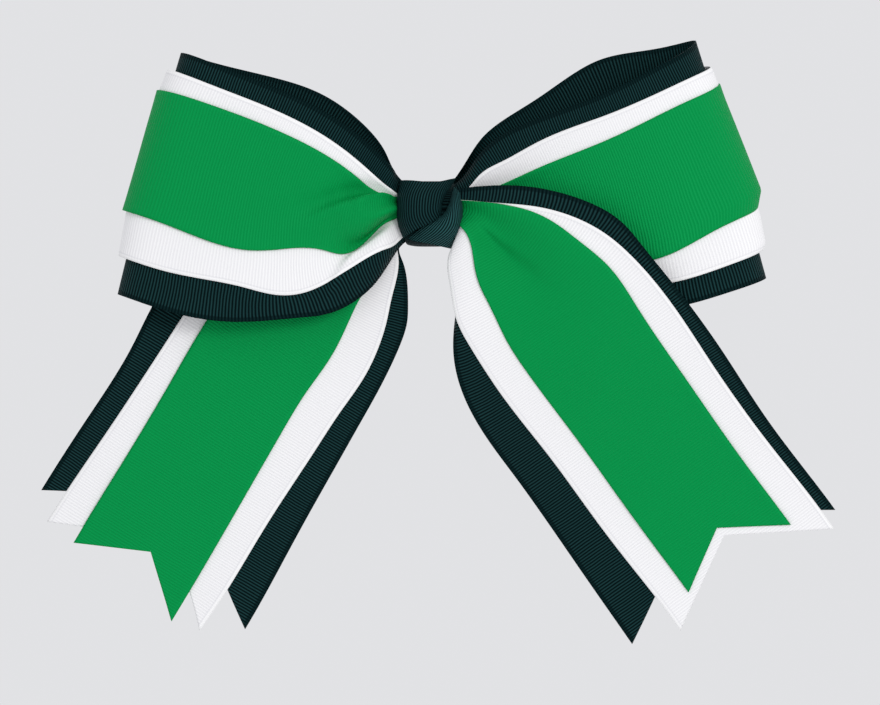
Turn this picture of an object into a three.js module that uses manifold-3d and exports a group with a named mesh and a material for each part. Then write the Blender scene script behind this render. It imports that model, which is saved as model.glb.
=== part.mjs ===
// Cheer hair bow: three stacked grosgrain ribbons folded into two loops and two tails, a knot and a French barrette.
// Millimetres. +Z up as worn, the bow faces -Y, +X is the viewer's right.
// The origin is the centre of the clasp arm's flat outer face, which lies on the head.
import * as THREE from "three";
import { mergeVertices } from "three/addons/utils/BufferGeometryUtils.js";
import Module from "manifold-3d";

const wasm = await Module();
wasm.setup();

// Driving dimensions.
const ribbonThickness = 0.5;
const layerStep = 0.85;
const clampLength = 80;
const plateWidth = 8;
const plateSag = 2.4;
const plateFront = -7.2;
const plateThickness = 0.7;
const pinAt = { x: -38, y: -2.4 };
const bundleY = -18.4;

const colours = {
  base: { color: 0x0b1a1e, roughness: 0.72 },
  middle: { color: 0xf4f3f6, roughness: 0.75 },
  top: { color: 0x069047, roughness: 0.7 },
  metal: { color: 0xb9bcc0, roughness: 0.3, metalness: 1 },
  plastic: { color: 0xe8e8e6, roughness: 0.5 },
  glue: { color: 0xe9e4d0, roughness: 0.4 },
};

// How much of the base ribbon's width each layer covers, from its upper edge to its lower edge.
// `reach` is how far a loop's layer runs past the one it lies on at the loop's outer end, at its upper and lower edge.
const leftLoopLayers = {
  base: { from: 0, to: 1, rank: 0, reach: [0, 0] },
  middle: { from: 0.1, to: 0.85, rank: 1, reach: [1.9, 2.2] },
  top: { from: 0.18, to: 0.68, rank: 2, reach: [2.4, 3.3] },
};
const rightLoopLayers = {
  base: { from: 0, to: 1, rank: 0, reach: [0, 0] },
  middle: { from: 0.11, to: 0.88, rank: 1, reach: [1.4, 2.2] },
  top: { from: 0.19, to: 0.69, rank: 2, reach: [1.8, 5] },
};
const leftTailLayers = {
  base: { from: 0, to: 1, rank: 0 },
  middle: { from: 0.08, to: 0.83, rank: 1 },
  top: { from: 0.22, to: 0.72, rank: 2 },
};
const rightTailLayers = {
  base: { from: 0, to: 1, rank: 0 },
  middle: { from: 0.05, to: 0.8, rank: 1 },
  top: { from: 0.19, to: 0.69, rank: 2 },
};

// Each station of a ribbon run is its upper edge point, then its lower edge point.
// The left loop starts where the right tail leaves the knot, runs out, round its end and back to the knot.
const leftLoop = [
  [[9.4, -23.2, 7.5], [9.4, -22.7, -7.8]],
  [[4.6, -22, 6.7], [4.6, -22, -7]],
  [[-0.2, -22, 6.8], [-0.2, -22, -6.8]],
  [[-4.3, -22, 7.2], [-4.3, -22, -7]],
  [[-9, -23, 10], [-8.7, -22.2, -10]],
  [[-14.2, -26, 17], [-22, -24.6, -26]],
  [[-23.4, -29, 25], [-38.2, -27.5, -32.2]],
  [[-41.8, -31.5, 35.8], [-59.7, -30, -33.1]],
  [[-65, -30, 45.3], [-84.4, -29.4, -28.5]],
  [[-74.2, -26.6, 48.9], [-93.8, -26.4, -26]],
  [[-76.9, -20, 49.8], [-96.5, -20, -25]],
  [[-74.2, -13.6, 49.2], [-93.8, -13.8, -25.6]],
  [[-66.8, -10.4, 47.2], [-85.5, -10.6, -27.3]],
  [[-43.8, -8.4, 41.5], [-60.7, -8.6, -31.1]],
  [[-25.7, -9.6, 32.4], [-38.8, -9.6, -29.2]],
  [[-14.5, -11.8, 20], [-22.5, -11.6, -23]],
  [[-9.1, -13.8, 10.4], [-8.7, -13.8, -9.3]],
  [[-4.4, -14.5, 7.5], [-4.4, -14.5, -6.8]],
  [[-0.2, -14.5, 7], [-0.2, -14.5, -6.6]],
];
// The right loop starts where the left tail leaves the knot.
const rightLoop = [
  [[-9.3, -18.5, 6.4], [-9.3, -18.5, -9.5]],
  [[-4.5, -18.5, 6.7], [-4.5, -18.5, -7]],
  [[0.2, -18.5, 6.8], [0.2, -18.5, -6.6]],
  [[5, -18.5, 7.3], [5, -18.5, -6.9]],
  [[9, -19.5, 9.2], [9.6, -19, -8.2]],
  [[13.6, -21.2, 16.2], [22.6, -21.2, -17.5]],
  [[19.8, -23.2, 22.6], [35.6, -23.6, -25.3]],
  [[32.1, -26.6, 28.6], [49, -27.4, -28.8]],
  [[52.4, -29.6, 36.2], [70.5, -29.6, -28.8]],
  [[72.1, -29.2, 46.1], [91.8, -29.4, -24.2]],
  [[79.6, -26.2, 50.6], [101.2, -26.4, -21.4]],
  [[82.2, -20, 53.5], [103.9, -20, -20]],
  [[79.6, -13.8, 53.6], [101.2, -13.8, -20.8]],
  [[71.4, -10.6, 51.9], [93, -10.6, -23]],
  [[52.2, -8.4, 48.1], [71.6, -8.6, -26.7]],
  [[32.8, -9.4, 35.8], [49.6, -9.5, -26.7]],
  [[16.8, -11.4, 24.5], [35.9, -11.2, -23]],
  [[9.3, -13.8, 12], [10.5, -13.8, -9.5]],
  [[5, -14.5, 8.1], [5, -14.5, -6.8]],
  [[0.2, -14.5, 7], [0.2, -14.5, -6.6]],
];
const leftTail = [
  [[-9.7, -18.5, 6.4], [-9.7, -18.5, -9.8]],
  [[-27.9, -19, 5.5], [-10.6, -18.5, -17.4]],
  [[-49.6, -20, 2.6], [-6.8, -18, -28.4]],
  [[-66.7, -20.5, -4.5], [-7.8, -17.5, -36.7]],
  [[-77.5, -20.5, -15.1], [-13.9, -16.5, -50.8]],
  [[-85.9, -20, -28.4], [-21.5, -15.5, -64.7]],
  [[-92.2, -18.5, -40.8], [-28.4, -14, -76.9]],
  [[-108.1, -13.5, -65.7], [-42.8, -10.5, -102.6]],
  [[-121.4, -9.5, -86.1], [-54.5, -8, -124]],
  [[-129.5, -7.5, -101], [-62.6, -6, -139]],
];
const rightTail = [
  [[11.8, -23.9, 7.7], [11.4, -23.3, -8.6]],
  [[18.8, -27.3, 8.3], [11.5, -25, -13.8]],
  [[36.9, -33, 6.8], [7.1, -27, -22.3]],
  [[55.2, -36.5, -0.4], [7.4, -27, -34.6]],
  [[64.4, -37, -9.6], [7.8, -25.5, -47.3]],
  [[73.6, -35.5, -20.9], [12.6, -23, -61.3]],
  [[88.7, -29, -40.8], [26.7, -17.5, -82.1]],
  [[105.7, -20, -65.6], [44.1, -12, -106.9]],
  [[126.3, -12, -92.2], [63.1, -9, -134.2]],
  [[134.5, -9, -104], [71.3, -8, -146]],
];

// A smooth curve through one edge's points.
function edgeCurve(stations, side) {
  const points = stations.map((s) => new THREE.Vector3(...s[side]));
  return new THREE.CatmullRomCurve3(points, false, "centripetal");
}

// The run's carrier: its edge points, its outward direction and its gathering at any share t of the station list.
function carrier(stations, outSign) {
  const upper = edgeCurve(stations, 0);
  const lower = edgeCurve(stations, 1);
  return (t) => {
    const a = upper.getPoint(t);
    const b = lower.getPoint(t);
    const along = upper.getTangent(t).add(lower.getTangent(t));
    const out = new THREE.Vector3(along.y, -along.x, 0).normalize().multiplyScalar(outSign);
    return { a, b, out, gather: Math.max(0, 1 - a.distanceTo(b) / 76.2) };
  };
}

// Accordion pleats across the width, strong where the ribbon is gathered.
function pleat(v, gather) {
  return 1.3 * Math.min(gather, 0.55) * Math.cos(4 * Math.PI * v);
}

// The pleat's height between lattice lines, straight so that stacked layers nest.
function latticePleat(v, gather) {
  const cells = 8;
  const i = Math.min(cells - 1, Math.floor(v * cells));
  const k = v * cells - i;
  return pleat(i / cells, gather) * (1 - k) + pleat((i + 1) / cells, gather) * k;
}

// The lattice lines a layer meets across the base ribbon's width, with its own two edges.
function acrossValues(layer) {
  const inner = [0.125, 0.25, 0.375, 0.5, 0.625, 0.75, 0.875];
  const kept = inner.filter((v) => v > layer.from + 0.03 && v < layer.to - 0.03);
  return [layer.from, ...kept, layer.to];
}

// One closed ribbon: an outer and an inner skin joined round the rim.
function ribbonGeometry(at, rows, across, rank, slide) {
  const skins = [rank * layerStep + ribbonThickness, rank * layerStep];
  const positions = [];
  for (const height of skins) {
    for (const row of rows) {
      for (const [j, v] of across.entries()) {
        const { a, b, out, gather } = at(row(v, j));
        const p = a.lerp(b, v).addScaledVector(out, height + latticePleat(v, gather));
        if (slide) p.add(slide(row(v, j), v));
        positions.push(p.x, p.y, p.z);
      }
    }
  }
  const nu = rows.length;
  const nv = across.length;
  const half = nu * nv;
  const index = [];
  const quad = (p, q, r, s) => index.push(p, q, r, p, r, s);
  for (let i = 0; i < nu - 1; i++) {
    for (let j = 0; j < nv - 1; j++) {
      const p = i * nv + j;
      quad(p, p + 1, p + nv + 1, p + nv);
      quad(half + p, half + p + nv, half + p + nv + 1, half + p + 1);
    }
  }
  for (let i = 0; i < nu - 1; i++) {
    const p = i * nv;
    const q = p + nv - 1;
    quad(p, p + nv, half + p + nv, half + p);
    quad(q + nv, q, half + q, half + q + nv);
  }
  for (let j = 0; j < nv - 1; j++) {
    const q = half - nv + j;
    quad(j + 1, j, half + j, half + j + 1);
    quad(q, q + 1, half + q + 1, half + q);
  }
  const geometry = new THREE.BufferGeometry();
  geometry.setAttribute("position", new THREE.Float32BufferAttribute(positions, 3));
  geometry.setIndex(index);
  return outwardFacing(geometry);
}

// Turns every face over when the solid's volume comes out negative.
function outwardFacing(geometry) {
  const p = geometry.attributes.position;
  const index = geometry.index.array;
  const corner = (i) => new THREE.Vector3().fromBufferAttribute(p, index[i]);
  let volume = 0;
  for (let i = 0; i < index.length; i += 3) {
    volume += corner(i).dot(corner(i + 1).cross(corner(i + 2)));
  }
  if (volume < 0) {
    for (let i = 0; i < index.length; i += 3) {
      [index[i + 1], index[i + 2]] = [index[i + 2], index[i + 1]];
    }
  }
  geometry.computeVertexNormals();
  return geometry;
}

// A loop's ribbon runs the whole station list, and slides outwards by its reach near station `end`.
function loopRibbon(stations, outSign, layer, end, steps) {
  const rows = [];
  for (let i = 0; i <= steps; i++) {
    rows.push(() => i / steps);
  }
  const bare = carrier(stations, outSign);
  const outward = new THREE.Vector3(outSign * 0.94, 0, 0.34);
  const across = acrossValues(layer);
  const slide = (t, v) => {
    const share = (v - layer.from) / (layer.to - layer.from);
    const near = Math.exp(-(((t * (stations.length - 1) - end) / 2.1) ** 2));
    return outward.clone().multiplyScalar(near * THREE.MathUtils.lerp(...layer.reach, share));
  };
  return ribbonGeometry(bare, rows, across, layer.rank, slide);
}

// A tail's ribbon stops at a V cut: `cut` gives the station reached at the upper edge, the notch and the lower edge.
function tailRibbon(stations, outSign, layer, cut, steps) {
  const { from, to } = layer;
  const notch = from + (to - from) * cut.at;
  const across = acrossValues(layer).filter((v) => Math.abs(v - notch) > 0.04);
  across.push(notch);
  across.sort((p, q) => p - q);
  const last = stations.length - 1;
  const reach = (v) => {
    if (v <= notch) {
      return THREE.MathUtils.lerp(cut.upper, cut.notch, (v - from) / (notch - from)) / last;
    }
    return THREE.MathUtils.lerp(cut.notch, cut.lower, (v - notch) / (to - notch)) / last;
  };
  const straight = 0.74;
  const rows = [];
  for (let i = 0; i <= steps; i++) {
    rows.push(() => (straight * i) / steps);
  }
  rows.push((v) => (straight + reach(v)) / 2);
  rows.push((v) => reach(v));
  return ribbonGeometry(carrier(stations, outSign), rows, across, layer.rank);
}

function toManifold(geometry) {
  const bare = geometry.clone();
  bare.deleteAttribute("normal");
  bare.deleteAttribute("uv");
  const merged = mergeVertices(bare, 1e-4);
  const mesh = new wasm.Mesh({
    numProp: 3,
    vertProperties: Float32Array.from(merged.attributes.position.array),
    triVerts: Uint32Array.from(merged.index.array),
  });
  return new wasm.Manifold(mesh);
}

function fromManifold(solid) {
  const mesh = solid.getMesh();
  const geometry = new THREE.BufferGeometry();
  geometry.setAttribute("position", new THREE.BufferAttribute(mesh.vertProperties, 3));
  geometry.setIndex(new THREE.BufferAttribute(mesh.triVerts, 1));
  geometry.computeVertexNormals();
  return geometry;
}

// Joins the first lists' solids and cuts away the second list's.
function combine(added, removed = []) {
  let solid = toManifold(added[0]);
  for (const geometry of added.slice(1)) {
    solid = solid.add(toManifold(geometry));
  }
  for (const geometry of removed) {
    solid = solid.subtract(toManifold(geometry));
  }
  return fromManifold(solid);
}

function box(x0, x1, y0, y1, z0, z1) {
  const geometry = new THREE.BoxGeometry(x1 - x0, y1 - y0, z1 - z0);
  return geometry.translate((x0 + x1) / 2, (y0 + y1) / 2, (z0 + z1) / 2);
}

// A cylinder along Z through (x, y).
function cylinderZ(radius, x, y, z0, z1) {
  const geometry = new THREE.CylinderGeometry(radius, radius, z1 - z0, 24);
  return geometry.rotateX(Math.PI / 2).translate(x, y, (z0 + z1) / 2);
}

// A cylinder along Y through (x, z).
function cylinderY(radius, x, z, y0, y1) {
  const geometry = new THREE.CylinderGeometry(radius, radius, y1 - y0, 24);
  return geometry.translate(x, (y0 + y1) / 2, z);
}

// The base plate bows away from the head: height of its front face at x.
function plateAt(x) {
  return plateFront + plateSag * (x / (clampLength / 2)) ** 2;
}

// A strip following `height(x)` from x0 to x1, `thick` towards the head, between z0 and z1.
function bowedStrip(height, x0, x1, thick, z0, z1, steps) {
  const shape = new THREE.Shape();
  shape.moveTo(x0, height(x0));
  for (let i = 1; i <= steps; i++) {
    const x = x0 + ((x1 - x0) * i) / steps;
    shape.lineTo(x, height(x));
  }
  for (let i = steps; i >= 0; i--) {
    const x = x0 + ((x1 - x0) * i) / steps;
    shape.lineTo(x, height(x) + thick);
  }
  const geometry = new THREE.ExtrudeGeometry(shape, { depth: z1 - z0, bevelEnabled: false });
  return geometry.translate(0, 0, z0);
}

function basePlate() {
  const half = plateWidth / 2;
  const strip = bowedStrip(plateAt, -clampLength / 2, clampLength / 2, plateThickness, -half, half, 24);
  const ears = [-1, 1].map((side) => {
    const z = side * (half - 0.3);
    return box(-39.8, -36.2, plateAt(38) + 0.2, -1.2, z - 0.3, z + 0.3);
  });
  const pinHole = cylinderZ(0.85, pinAt.x, pinAt.y, -half - 1, half + 1);
  const rivetHole = cylinderY(0.9, 33, 0, plateAt(33) - 2, plateAt(33) + 3);
  return combine([strip, ...ears], [pinHole, rivetHole]);
}

function latchPlate() {
  const strip = bowedStrip((x) => plateAt(x) + plateThickness + 0.1, 30.8, 39.8, 0.5, -2.2, 2.2, 6);
  return combine([strip], [cylinderY(0.9, 33, 0, plateAt(33) - 2, plateAt(33) + 4)]);
}

function latchRivet() {
  const front = plateAt(33) - 0.5;
  const back = plateAt(33) + plateThickness + 1.05;
  const shaft = cylinderY(0.8, 33, 0, front, back);
  return combine([shaft, cylinderY(1.5, 33, 0, front - 0.1, front + 0.3), cylinderY(1.3, 33, 0, back - 0.1, back + 0.35)]);
}

// A spring prong with an outward barb at its free end.
function latchProng(side) {
  const inner = 1.25;
  const outer = 1.65;
  const z0 = Math.min(side * inner, side * outer);
  const z1 = Math.max(side * inner, side * outer);
  const barb = Math.min(side * inner, side * 1.9);
  const barbEnd = Math.max(side * inner, side * 1.9);
  const root = plateAt(37.5) + plateThickness + 1.1;
  return combine([box(36, 39, root, -0.35, z0, z1), box(36, 39, -0.85, -0.35, barb, barbEnd)]);
}

function hingePin() {
  const shaft = cylinderZ(0.8, pinAt.x, pinAt.y, -4.2, 4.2);
  const heads = [-1, 1].map((side) => {
    const z = side * 4.35;
    return cylinderZ(1.15, pinAt.x, pinAt.y, z - 0.25, z + 0.25);
  });
  return combine([shaft, ...heads]);
}

function claspArm() {
  const plate = box(-37.2, 33, -0.8, 0, -3, 3);
  const step = box(32.2, 33, -1.9, -0.4, -3, 3);
  const end = box(32.2, 41.2, -2.1, -1.4, -3.4, 3.4);
  const knuckles = [cylinderZ(1.45, pinAt.x, pinAt.y, -3, -1.55), cylinderZ(1.45, pinAt.x, pinAt.y, 1.55, 3)];
  const webs = [box(-38.6, -37, -1.9, 0, -3, -1.55), box(-38.6, -37, -1.9, 0, 1.55, 3)];
  const slot = box(-40, -35.4, -6, 1, -1.55, 1.55);
  const window = box(34.9, 39.9, -4, 1, -2.2, 2.2);
  const bore = cylinderZ(0.88, pinAt.x, pinAt.y, -5, 5);
  return combine([plate, step, end, ...knuckles, ...webs], [slot, window, bore]);
}

function tensionBar() {
  const height = (x) => {
    const k = (x + 37) / 66;
    return -2.9 - 1.9 * Math.sin(Math.PI * k) + 1.1 * k;
  };
  const strip = bowedStrip(height, -37.2, 29, 0.4, -1.25, 1.25, 20);
  const eye = cylinderZ(1.3, pinAt.x, pinAt.y, -1.25, 1.25);
  return combine([strip, eye], [cylinderZ(0.88, pinAt.x, pinAt.y, -3, 3)]);
}

// A closed ring round the X axis at (centreY, 0), its wall built from `section(angle)` points [x, radial offset].
// The smaller `square` is, the squarer the ring's corners are.
function ringGeometry(centreY, halfY, halfZ, square, segments, section) {
  const positions = [];
  const count = section(0).length;
  for (let i = 0; i < segments; i++) {
    const angle = (2 * Math.PI * i) / segments;
    const c = Math.cos(angle);
    const s = Math.sin(angle);
    const ey = Math.sign(c) * Math.abs(c) ** square;
    const ez = Math.sign(s) * Math.abs(s) ** square;
    for (const [x, offset] of section(angle)) {
      positions.push(x, centreY + ey * halfY + c * offset, ez * halfZ + s * offset);
    }
  }
  const index = [];
  for (let i = 0; i < segments; i++) {
    const n = (i + 1) % segments;
    for (let j = 0; j < count; j++) {
      const m = (j + 1) % count;
      const [p, q, r, t] = [i * count + j, i * count + m, n * count + m, n * count + j];
      index.push(p, q, r, p, r, t);
    }
  }
  const geometry = new THREE.BufferGeometry();
  geometry.setAttribute("position", new THREE.Float32BufferAttribute(positions, 3));
  geometry.setIndex(index);
  return outwardFacing(geometry);
}

// The knot: a puffed front, thin over the top and bottom, flat behind the base plate.
function knotRibbon() {
  return ringGeometry(-16.4, 10.6, 9.5, 0.6, 36, (angle) => {
    const front = Math.max(0, -Math.cos(angle)) ** 3;
    const half = 6.2 + 3.1 * front;
    const wall = 0.7 + 2.2 * front;
    return [
      [-half, 0],
      [half, 0],
      [half, wall * 0.45],
      [half * 0.62, wall],
      [0, wall + 0.25 * front],
      [-half * 0.62, wall],
      [-half, wall * 0.45],
    ];
  });
}

// The cable tie: a flat strap round the bundle with its square head low at the back.
function gatherTie() {
  const strap = ringGeometry(bundleY, 7.6, 8.2, 0.7, 32, () => [[-1.2, 0], [1.2, 0], [1.2, 0.85], [-1.2, 0.85]]);
  const head = box(-1.9, 1.9, -12.8, -9.7, -8.4, -5.2);
  const bore = ringGeometry(bundleY, 7.6, 8.2, 0.7, 32, () => [[-4, -6], [4, -6], [4, 0], [-4, 0]]);
  return combine([strap, head], [bore]);
}

function gluePad() {
  const shape = new THREE.Shape();
  shape.absellipse(0, 0, 5.6, 3.6, 0, 2 * Math.PI);
  const pad = new THREE.ExtrudeGeometry(shape, { depth: 2, bevelEnabled: false, curveSegments: 24 });
  return pad.rotateX(Math.PI / 2).translate(0, -7.5, 0);
}

const bow = new THREE.Group();

function addPart(name, geometry, look) {
  const mesh = new THREE.Mesh(geometry, new THREE.MeshStandardMaterial(look));
  mesh.name = name;
  bow.add(mesh);
}

const loopSteps = 38;
const tailSteps = 14;
const leftCuts = {
  base: { upper: 8, notch: 7.13, lower: 8.42, at: 0.57 },
  middle: { upper: 8.49, notch: 7.7, lower: 8.89, at: 0.57 },
  top: { upper: 8.59, notch: 7.99, lower: 8.85, at: 0.57 },
};
const rightCuts = {
  base: { upper: 8, notch: 7.3, lower: 8, at: 0.5 },
  middle: { upper: 8.33, notch: 7.62, lower: 8.33, at: 0.5 },
  top: { upper: 7.88, notch: 7.52, lower: 7.88, at: 0.5 },
};
for (const kind of ["base", "middle", "top"]) {
  const look = colours[kind];
  addPart(`${kind}_ribbon_left_loop`, loopRibbon(leftLoop, -1, leftLoopLayers[kind], 10, loopSteps), look);
  addPart(`${kind}_ribbon_right_loop`, loopRibbon(rightLoop, 1, rightLoopLayers[kind], 11, loopSteps), look);
  addPart(`${kind}_ribbon_left_tail`, tailRibbon(leftTail, -1, leftTailLayers[kind], leftCuts[kind], tailSteps), look);
  addPart(`${kind}_ribbon_right_tail`, tailRibbon(rightTail, 1, rightTailLayers[kind], rightCuts[kind], tailSteps), look);
}
addPart("knot_ribbon", knotRibbon(), colours.base);
addPart("gather_tie", gatherTie(), colours.plastic);
addPart("glue_pad", gluePad(), colours.glue);
addPart("barrette_base_plate", basePlate(), colours.metal);
addPart("latch_plate", latchPlate(), colours.metal);
addPart("latch_rivet", latchRivet(), colours.metal);
addPart("latch_prong_upper", latchProng(1), colours.metal);
addPart("latch_prong_lower", latchProng(-1), colours.metal);
addPart("hinge_pin", hingePin(), colours.metal);
addPart("clasp_arm", claspArm(), colours.metal);
addPart("tension_bar", tensionBar(), colours.metal);

export default bow;
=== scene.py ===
import math

import bpy
import numpy as np
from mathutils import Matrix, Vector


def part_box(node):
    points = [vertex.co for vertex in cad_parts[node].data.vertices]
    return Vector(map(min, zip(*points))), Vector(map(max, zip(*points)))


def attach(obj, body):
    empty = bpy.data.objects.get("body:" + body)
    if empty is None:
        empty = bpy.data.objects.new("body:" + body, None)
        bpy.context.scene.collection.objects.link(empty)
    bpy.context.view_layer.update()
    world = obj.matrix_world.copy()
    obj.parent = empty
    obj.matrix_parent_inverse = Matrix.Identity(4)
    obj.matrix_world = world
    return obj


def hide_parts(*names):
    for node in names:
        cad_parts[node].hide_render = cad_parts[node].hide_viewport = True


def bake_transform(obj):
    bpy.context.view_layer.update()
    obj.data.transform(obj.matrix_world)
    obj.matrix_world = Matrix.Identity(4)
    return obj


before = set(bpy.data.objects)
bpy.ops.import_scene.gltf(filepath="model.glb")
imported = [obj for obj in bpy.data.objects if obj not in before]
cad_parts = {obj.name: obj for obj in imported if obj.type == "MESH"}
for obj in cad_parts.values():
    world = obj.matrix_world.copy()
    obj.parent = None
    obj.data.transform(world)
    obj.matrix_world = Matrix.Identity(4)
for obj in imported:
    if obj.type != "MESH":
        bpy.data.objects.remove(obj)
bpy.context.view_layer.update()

# Everything is laid out in millimetres from one anchor:
# the knot's middle across and up, the clasp arm's outer face in depth.
mm = 0.001
uvScale = 0.01      # texture maps hold mm times this
knotLow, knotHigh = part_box("knot_ribbon")
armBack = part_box("clasp_arm")[1].y
anchor = np.array([(knotLow.x + knotHigh.x) / 2, armBack, (knotLow.z + knotHigh.z) / 2]) / mm
print("frame loaded, anchor at", anchor.round(2))

studio = {
    "cameraAway": 1.375, "bowDepth": 0.025,      # metres: camera to the bow, and the bow's front from the origin
    "aimAcross": 3.1, "aimUp": -43.1,            # what the camera looks at, in mm from the anchor
    "seenWidth": 0.2719, "sensorWidth": 36,      # metres across the picture at the bow, mm across the sensor
    "farClip": 20,
    "lights": {      # place and size in metres, watts, colour
        "keyLight": ((0.8, -1.35, 0.45), 0.55, 7.5, (1, 0.995, 0.985)),
        "fillLight": ((-1.2, -1.2, 0.5), 1.1, 0.8, (0.97, 0.98, 1)),
        "topLight": ((-0.1, 0.9, 1.2), 0.9, 1.5, (1, 1, 1)),
    },
    "skyStrength": 0.78, "skyColour": (0.97, 0.975, 1),
}


def makeCamera():
    camera = bpy.data.cameras.new("studioCamera")
    camera.sensor_width = studio["sensorWidth"]
    camera.lens = camera.sensor_width * studio["cameraAway"] / studio["seenWidth"]
    holder = bpy.data.objects.new("studioCamera", camera)
    holder.location = (
        (anchor[0] + studio["aimAcross"]) * mm,
        -studio["bowDepth"] - studio["cameraAway"],
        (anchor[2] + studio["aimUp"]) * mm,
    )
    holder.rotation_euler = (math.pi / 2, 0, 0)
    camera.clip_end = studio["farClip"]
    bpy.context.scene.collection.objects.link(holder)
    bpy.context.scene.camera = holder


def softLight(name, place, size, power, colour):
    light = bpy.data.lights.new(name, "AREA")
    light.shape = "DISK"
    light.size = size
    light.energy = power
    light.color = colour
    holder = bpy.data.objects.new(name, light)
    holder.location = place
    holder.rotation_euler = (-holder.location).to_track_quat("-Z", "Y").to_euler()      # faces the origin
    bpy.context.scene.collection.objects.link(holder)


def lightTheStudio():
    for name, light in studio["lights"].items():
        softLight(name, *light)
    sky = bpy.data.worlds.new("studioSky")
    sky.use_nodes = True
    background = sky.node_tree.nodes["Background"]
    background.inputs["Color"].default_value = (*studio["skyColour"], 1)
    background.inputs["Strength"].default_value = studio["skyStrength"]
    bpy.context.scene.world = sky
    bpy.context.scene.view_settings.view_transform = "Standard"


makeCamera()
lightTheStudio()
print("camera and lights ready")


def naturalSpline(knots, rows, at):
    # cubic through rows at the knots: second slopes c solve a three-band system with c = 0 at both ends,
    # and each span is row + s*(slope - w*(2c0 + c1)/6) + s^2*c0/2 + s^3*(c1 - c0)/(6w)
    knots = np.asarray(knots, float)
    rows = np.asarray(rows, float).reshape(len(knots), -1)
    gap = np.diff(knots)
    slope = np.diff(rows, axis=0) / gap[:, None]
    band = np.eye(len(knots))
    inner = np.arange(1, len(knots) - 1)
    band[inner, inner - 1] = gap[:-1]
    band[inner, inner] = 2 * (gap[:-1] + gap[1:])
    band[inner, inner + 1] = gap[1:]
    right = np.zeros_like(rows)
    right[1:-1] = 6 * np.diff(slope, axis=0)
    c = np.linalg.solve(band, right)
    at = np.clip(at, knots[0], knots[-1])
    k = np.clip(np.searchsorted(knots, at, side="right") - 1, 0, len(knots) - 2)
    s = (at - knots[k])[:, None]
    w = gap[k][:, None]
    return (rows[k] + s * (slope[k] - w * (2 * c[k] + c[k + 1]) / 6)
            + s ** 2 * c[k] / 2 + s ** 3 * (c[k + 1] - c[k]) / (6 * w))


def meshObject(name, points, quads, maps, flatQuads):
    # points n x 3 in mm, quads as corner numbers, maps one pair per point; flatQuads are shaded with hard edges
    mesh = bpy.data.meshes.new(name)
    mesh.vertices.add(len(points))
    mesh.vertices.foreach_set("co", (points * mm).astype(np.float32).ravel())
    allQuads = np.concatenate([quads, flatQuads]).astype(np.int32)
    mesh.loops.add(allQuads.size)
    mesh.loops.foreach_set("vertex_index", allQuads.ravel())
    mesh.polygons.add(len(allQuads))
    mesh.polygons.foreach_set("loop_start", np.arange(0, allQuads.size, 4, dtype=np.int32))
    smooth = np.zeros(len(allQuads), bool)
    smooth[:len(quads)] = True
    mesh.polygons.foreach_set("use_smooth", smooth)
    mesh.update(calc_edges=True)
    for label, uv in maps.items():
        layer = mesh.uv_layers.new(name=label)
        layer.data.foreach_set("uv", uv[allQuads.ravel()].astype(np.float32).ravel())
    mesh.validate()
    holder = bpy.data.objects.new(name, mesh)
    bpy.context.scene.collection.objects.link(holder)
    return holder


def closedShell(name, front, back, maps):
    # two n x m skins, front and back, joined by a strip of quads round the rim
    n, m = front.shape[:2]
    points = np.concatenate([front.reshape(-1, 3), back.reshape(-1, 3)])
    i, j = np.meshgrid(np.arange(n - 1), np.arange(m - 1), indexing="ij")
    p = (i * m + j).ravel()
    half = n * m
    frontQuads = np.stack([p, p + 1, p + m + 1, p + m], 1)
    backQuads = np.stack([p, p + m, p + m + 1, p + 1], 1) + half
    rim = np.concatenate([
        np.arange(m - 1), np.arange(n - 1) * m + m - 1,
        (n - 1) * m + np.arange(m - 1, 0, -1), np.arange(n - 1, 0, -1) * m,
    ])
    after = np.roll(rim, -1)
    rimQuads = np.stack([after, rim, rim + half, after + half], 1)
    mapsBoth = {label: np.concatenate([uv.reshape(-1, 2)] * 2) for label, uv in maps.items()}
    a = front[n // 2, m // 2]
    across = np.cross(front[n // 2 + 1, m // 2] - a, front[n // 2, m // 2 + 1] - a)
    skinQuads = np.concatenate([frontQuads, backQuads])
    if across @ (a - back[n // 2, m // 2]) > 0:     # the skins' winding has to face away from each other
        skinQuads, rimQuads = skinQuads[:, ::-1], rimQuads[:, ::-1]
    return meshObject(name, points + anchor, skinQuads, mapsBoth, rimQuads)


ribbon = {
    "flatWidths": {"base": 76.2, "middle": 57.15, "top": 38.1},
    "thickness": 0.34,
    "layerStep": 0.5,
    "tuck": 0.7,            # mm an inner layer is held back in a crease
    "cellAlong": 0.9, "cellAcross": 1.05,   # mm between mesh lines
    "cutZone": 18,          # mm before a cut end where the mesh rows begin to slant
    "ribPitch": 0.89, "ribGridSize": (100, 13),      # mm, and points along and across where ribs are solved for
    "easeWidth": 3.0, "easeMean": 0.55, "easeSwing": 0.45, "easeWaves": (17.0, 41.0),      # raised edges
    "rippleHeight": 0.05, "rippleWaves": (6.1, 23.0), "rippleAcross": (5, 9),      # faint ripple all over
    "reachSpread": 22.0,    # mm along a loop over which the upper layers stand out round its end
}

# Each station: upper edge x y z, lower edge x y z; where the middle and top ribbons' edges fall between them
# (middle's upper, top's upper, top's lower, middle's lower, the base's own lower edge); pleat heights on the
# fold lines. A lip is a crease that fans out of the knot, s mm along and v across: past its line the cloth
# stands up by height, over a distance edge, and settles again over fall; over slides the cloth up over the line.

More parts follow.
